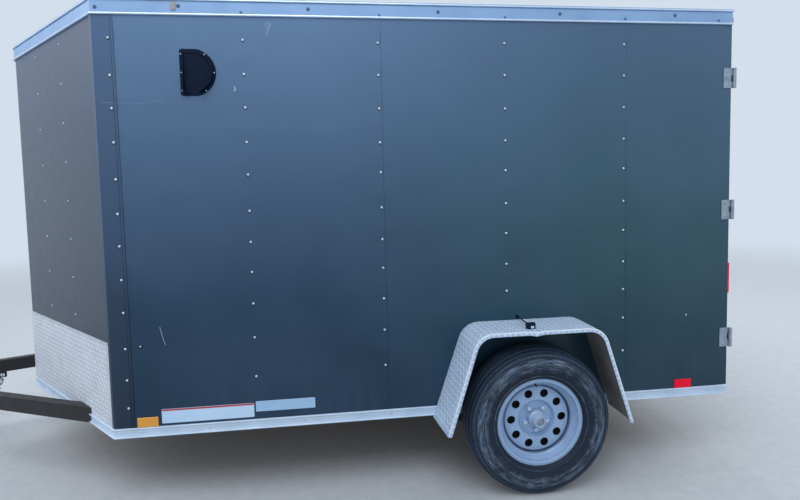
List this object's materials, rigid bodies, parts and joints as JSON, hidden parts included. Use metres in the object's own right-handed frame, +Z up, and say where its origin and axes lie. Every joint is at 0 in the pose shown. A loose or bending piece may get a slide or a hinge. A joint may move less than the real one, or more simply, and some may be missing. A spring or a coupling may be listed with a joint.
{
  "type": "enclosed cargo trailer",
  "caption": "Enclosed box trailer with a V-shaped nose, one axle, tread-plate fenders, barn doors, a side door and a tongue jack.",
  "frame": {"origin": "on the ground, in the middle of the trailer in plan", "axes": "+X forward to the coupler, +Y to the road side, +Z up"},
  "size_m": [4.777, 2.309, 2.304],
  "materials": {
    "frame_black": "black enamel on steel tube",
    "zinc": "zinc-plated steel",
    "galvanised": "galvanised steel",
    "plywood": "plywood boards",
    "grey_skin": "charcoal-grey baked enamel on aluminium sheet",
    "grey_trim": "charcoal-grey enamel on aluminium",
    "roof_sheet": "mill-finish aluminium sheet",
    "bright_trim": "mill-finish aluminium extrusion",
    "tread_plate": "aluminium tread plate",
    "black_plastic": "black moulded plastic",
    "amber_lens": "amber moulded lens",
    "red_lens": "red moulded lens",
    "tyre_rubber": "black tyre rubber",
    "silver_rim": "silver enamel on steel",
    "rusty_hub": "rusty cast iron"
  },
  "bodies": {
    "chassis": {"side_rails": "frame_black", "crossmembers": "frame_black", "nose_frame": "frame_black", "tongue_tubes": "frame_black", "axle_beam": "frame_black", "axle_seats": "frame_black", "spring_hangers": "frame_black", "leaf_springs": "frame_black", "coupler": "frame_black", "rear_sill": "frame_black", "u_bolts": "frame_black", "chain_tabs": "frame_black", "safety_chains": "zinc", "jack_tube": "zinc", "jack_crank": "zinc", "coupler_latch": "zinc", "rear_hinge_leaves": "zinc", "rear_keepers": "zinc", "floor_deck": "plywood", "wall_left": "grey_skin", "wall_right": "grey_skin", "nose_panel_left": "grey_skin", "nose_panel_right": "grey_skin", "nose_cap": "grey_skin", "rear_posts": "grey_skin", "rear_header": "grey_skin", "roof": "roof_sheet", "roof_bows": "galvanised", "top_rail": "bright_trim", "bottom_trims": "bright_trim", "side_door_frame": "bright_trim", "corner_trims": "grey_trim", "stone_guard": "tread_plate", "fender_left": "tread_plate", "fender_right": "tread_plate", "side_vents": "black_plastic", "fender_lamps": "black_plastic", "amber_reflectors": "amber_lens", "red_reflectors": "red_lens", "tail_lamps": "red_lens", "rear_marker_lamps": "red_lens"},
    "wheel_left": {"tyre_left": "tyre_rubber", "rim_left": "silver_rim", "hub_left": "rusty_hub"},
    "rear_door_left": {"rear_door_left": "grey_skin", "rear_hardware_left": "zinc"},
    "wheel_right": {"tyre_right": "tyre_rubber", "rim_right": "silver_rim", "hub_right": "rusty_hub"},
    "rear_door_right": {"rear_door_right": "grey_skin", "rear_hardware_right": "zinc"},
    "side_door": {"side_door": "grey_skin", "side_door_hardware": "zinc"},
    "jack_leg": {"jack_leg": "zinc"}
  },
  "joints": [
    {"name": "wheel_left_spin", "type": "hinge", "parent": "chassis", "child": "wheel_left", "pos_m": [-1.23546, 1.0425, 0.343], "axis": [0, 1, 0], "continuous": true},
    {"name": "wheel_right_spin", "type": "hinge", "parent": "chassis", "child": "wheel_right", "pos_m": [-1.23546, -1.0425, 0.343], "axis": [0, 1, 0], "continuous": true},
    {"name": "rear_door_left_swing", "type": "hinge", "parent": "chassis", "child": "rear_door_left", "pos_m": [-2.35046, 0.9245, 1.3], "axis": [0, 0, -1], "range_deg": [0, 240]},
    {"name": "rear_door_right_swing", "type": "hinge", "parent": "chassis", "child": "rear_door_right", "pos_m": [-2.35046, -0.9245, 1.3], "axis": [0, 0, 1], "range_deg": [0, 240]},
    {"name": "side_door_swing", "type": "hinge", "parent": "chassis", "child": "side_door", "pos_m": [0.49554, -0.9265, 1.3], "axis": [0, 0, 1], "range_deg": [0, 170]},
    {"name": "jack_slide", "type": "slide", "parent": "chassis", "child": "jack_leg", "axis": [0, 0, 1], "range_m": [-0.2, 0.17]}
  ]
}
